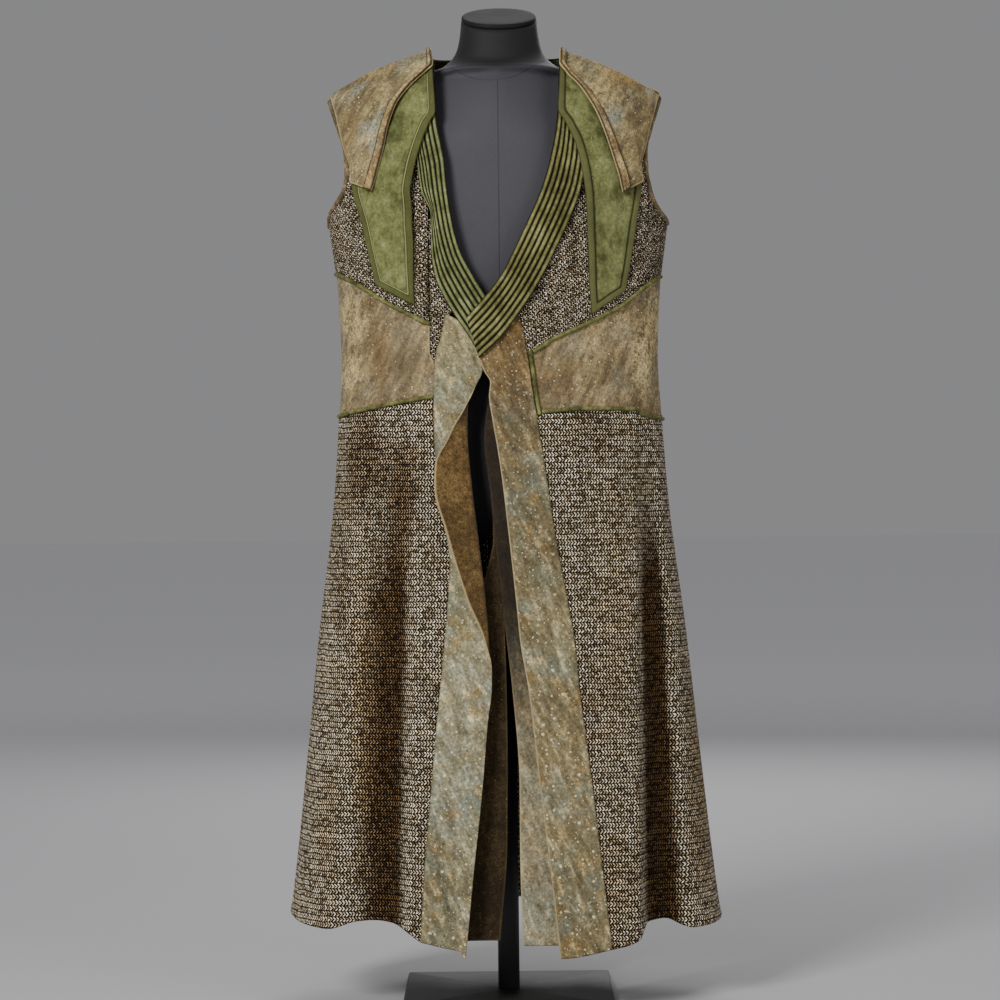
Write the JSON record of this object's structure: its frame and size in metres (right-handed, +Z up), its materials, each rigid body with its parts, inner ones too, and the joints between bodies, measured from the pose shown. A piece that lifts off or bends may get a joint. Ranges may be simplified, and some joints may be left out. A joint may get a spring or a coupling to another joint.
{
  "type": "long vest on a dress form",
  "caption": "Long sleeveless tweed, leather and suede vest with ribbed neck bands and an open front, worn by a limbless dress form on a pole and plate.",
  "frame": {"origin": "middle of the pole's axis on the underside of the base plate", "axes": "+Z up, +X to the right seen from the front, and the front faces -Y"},
  "size_m": [0.6432, 0.4186, 1.4856],
  "materials": {
    "tweed": "rough woven tweed",
    "leather": "grained, worn",
    "band_leather": "painted, worn",
    "reverse_leather": "rough reverse",
    "suede": "napped",
    "form_cloth": "fine jersey",
    "form_cap": "satin",
    "steel": "satin black"
  },
  "bodies": {
    "root": {"bodice_front_left": "tweed", "bodice_strip_left": "tweed", "bodice_front_right": "tweed", "skirt_front_left": "tweed", "skirt_front_right": "tweed", "bodice_back": "tweed", "skirt_back_left": "tweed", "skirt_back_right": "tweed", "waist_front_left": "leather", "waist_front_right": "leather", "shoulder_flap_left": "leather", "shoulder_flap_right": "leather", "flap_trim_left": "leather", "flap_trim_right": "leather", "armhole_binding_left": "leather", "armhole_binding_right": "leather", "back_yoke": "leather", "waist_back": "leather", "band_left": "band_leather", "band_right": "band_leather", "inner_flap_right": "band_leather", "inner_flap_left": "reverse_leather", "rib_band_left": "suede", "rib_band_right": "suede", "collar_back": "suede", "tab_left": "suede", "tab_right": "suede", "piping_top_left": "suede", "piping_bottom_left": "suede", "piping_top_right": "suede", "piping_bottom_right": "suede", "piping_front_right": "suede", "piping_top_back": "suede", "piping_bottom_back": "suede", "form_torso": "form_cloth", "form_neck_cap": "form_cap", "pole": "steel", "base_plate": "steel"}
  },
  "joints": []
}
